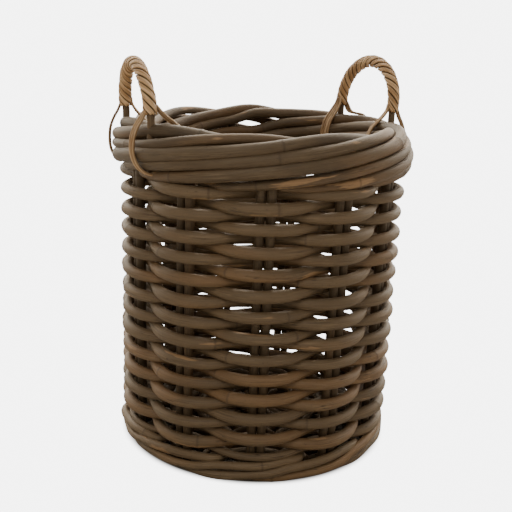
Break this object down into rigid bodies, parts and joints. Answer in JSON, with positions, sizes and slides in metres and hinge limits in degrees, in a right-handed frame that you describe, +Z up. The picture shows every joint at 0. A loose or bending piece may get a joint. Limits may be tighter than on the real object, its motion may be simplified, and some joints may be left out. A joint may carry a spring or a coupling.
{
  "type": "log basket",
  "caption": "Round woven basket of thick rattan rods with a rolled rope-like border, a rolled foot and two wrapped loop handles, open at the top.",
  "frame": {"origin": "centre of the underside, on the floor that the foot stands on", "axes": "+Z up along the basket's axis, which is its longest extent; the two handles are near +X and -X"},
  "size_m": [0.4586, 0.459, 0.6069],
  "materials": {
    "stakes": "matt weathered rattan",
    "wall": "matt weathered rattan",
    "border": "matt weathered rattan",
    "foot": "matt weathered rattan",
    "base": "matt weathered rattan",
    "handle_core": "matt rattan",
    "handle_wrap": "satin split cane"
  },
  "bodies": {
    "root": {"stake_pair_01": "stakes", "stake_pair_02": "stakes", "stake_pair_03": "stakes", "stake_pair_04": "stakes", "stake_pair_05": "stakes", "stake_pair_06": "stakes", "stake_pair_07": "stakes", "stake_pair_08": "stakes", "stake_pair_09": "stakes", "stake_pair_10": "stakes", "stake_pair_11": "stakes", "wall_weaver_01": "wall", "wall_weaver_02": "wall", "wall_weaver_03": "wall", "wall_weaver_04": "wall", "wall_weaver_05": "wall", "wall_weaver_06": "wall", "wall_weaver_07": "wall", "wall_weaver_08": "wall", "wall_weaver_09": "wall", "wall_weaver_10": "wall", "wall_weaver_11": "wall", "wall_weaver_12": "wall", "wall_weaver_13": "wall", "border_rod_01": "border", "border_rod_02": "border", "border_rod_03": "border", "border_rod_04": "border", "border_rod_05": "border", "border_rod_06": "border", "border_rod_07": "border", "border_rod_08": "border", "border_rod_09": "border", "border_rod_10": "border", "border_rod_11": "border", "foot_rod_01": "foot", "foot_rod_02": "foot", "foot_rod_03": "foot", "foot_rod_04": "foot", "foot_rod_05": "foot", "foot_rod_06": "foot", "foot_rod_07": "foot", "foot_rod_08": "foot", "foot_rod_09": "foot", "foot_rod_10": "foot", "foot_rod_11": "foot", "base_sticks_lower": "base", "base_sticks_upper": "base", "base_weaver_01": "base", "base_weaver_02": "base", "base_weaver_03": "base", "handle_core_a": "handle_core", "handle_core_b": "handle_core", "handle_wrap_a": "handle_wrap", "handle_wrap_b": "handle_wrap", "handle_lashing_a1": "handle_wrap", "handle_lashing_a2": "handle_wrap", "handle_lashing_b1": "handle_wrap", "handle_lashing_b2": "handle_wrap"}
  },
  "joints": []
}
